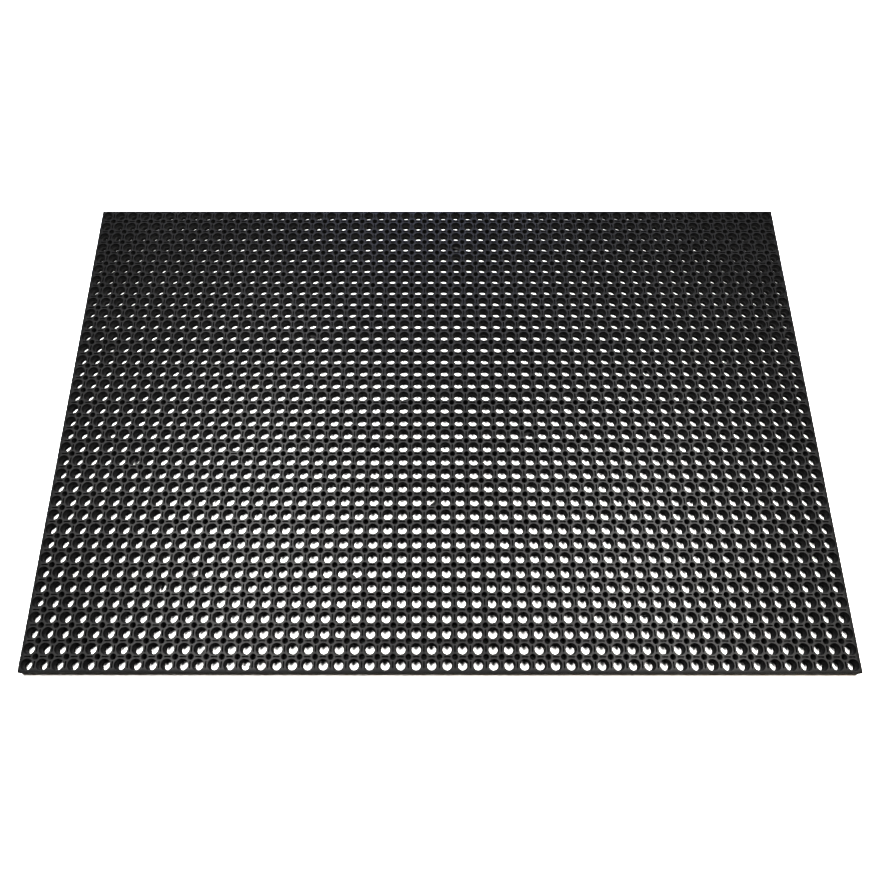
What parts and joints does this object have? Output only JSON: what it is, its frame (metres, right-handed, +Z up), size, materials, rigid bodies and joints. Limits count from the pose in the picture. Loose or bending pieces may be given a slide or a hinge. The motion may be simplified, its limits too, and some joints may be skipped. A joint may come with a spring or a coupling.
{
  "type": "anti fatigue mat",
  "caption": "Large flat rectangular rubber floor mat with a square grid of round drainage holes; its strips hinge so that it can be lifted and curled up for cleaning.",
  "frame": {"origin": "on the floor, under the middle of the mat's underside", "axes": "+X along the 1500 mm length, +Y along the 1000 mm width, away from the viewer, +Z up through the 22 mm thickness"},
  "size_m": [1.5, 1, 0.022],
  "materials": {
    "rubber": "matt charcoal moulded rubber"
  },
  "bodies": {
    "strip_1": {"base_1": "rubber", "tread_1": "rubber"},
    "strip_2": {"base_2": "rubber", "tread_2": "rubber"},
    "strip_3": {"base_3": "rubber", "tread_3": "rubber"},
    "strip_4": {"base_4": "rubber", "tread_4": "rubber"},
    "strip_5": {"base_5": "rubber", "tread_5": "rubber"},
    "strip_6": {"base_6": "rubber", "tread_6": "rubber"},
    "strip_7": {"base_7": "rubber", "tread_7": "rubber"},
    "strip_8": {"base_8": "rubber", "tread_8": "rubber"},
    "strip_9": {"base_9": "rubber", "tread_9": "rubber"}
  },
  "joints": [
    {"name": "flex_1_2", "type": "hinge", "parent": "strip_2", "child": "strip_1", "pos_m": [-0.58333, 0, 0.022], "axis": [0, 1, 0], "range_deg": [0, 35]},
    {"name": "flex_2_3", "type": "hinge", "parent": "strip_3", "child": "strip_2", "pos_m": [-0.41667, 0, 0.022], "axis": [0, 1, 0], "range_deg": [0, 35]},
    {"name": "flex_3_4", "type": "hinge", "parent": "strip_4", "child": "strip_3", "pos_m": [-0.25, 0, 0.022], "axis": [0, 1, 0], "range_deg": [0, 35]},
    {"name": "flex_4_5", "type": "hinge", "parent": "strip_5", "child": "strip_4", "pos_m": [-0.08333, 0, 0.022], "axis": [0, 1, 0], "range_deg": [0, 35]},
    {"name": "flex_5_6", "type": "hinge", "parent": "strip_5", "child": "strip_6", "pos_m": [0.08333, 0, 0.022], "axis": [0, -1, 0], "range_deg": [0, 35]},
    {"name": "flex_6_7", "type": "hinge", "parent": "strip_6", "child": "strip_7", "pos_m": [0.25, 0, 0.022], "axis": [0, -1, 0], "range_deg": [0, 35]},
    {"name": "flex_7_8", "type": "hinge", "parent": "strip_7", "child": "strip_8", "pos_m": [0.41667, 0, 0.022], "axis": [0, -1, 0], "range_deg": [0, 35]},
    {"name": "flex_8_9", "type": "hinge", "parent": "strip_8", "child": "strip_9", "pos_m": [0.58333, 0, 0.022], "axis": [0, -1, 0], "range_deg": [0, 35]}
  ]
}
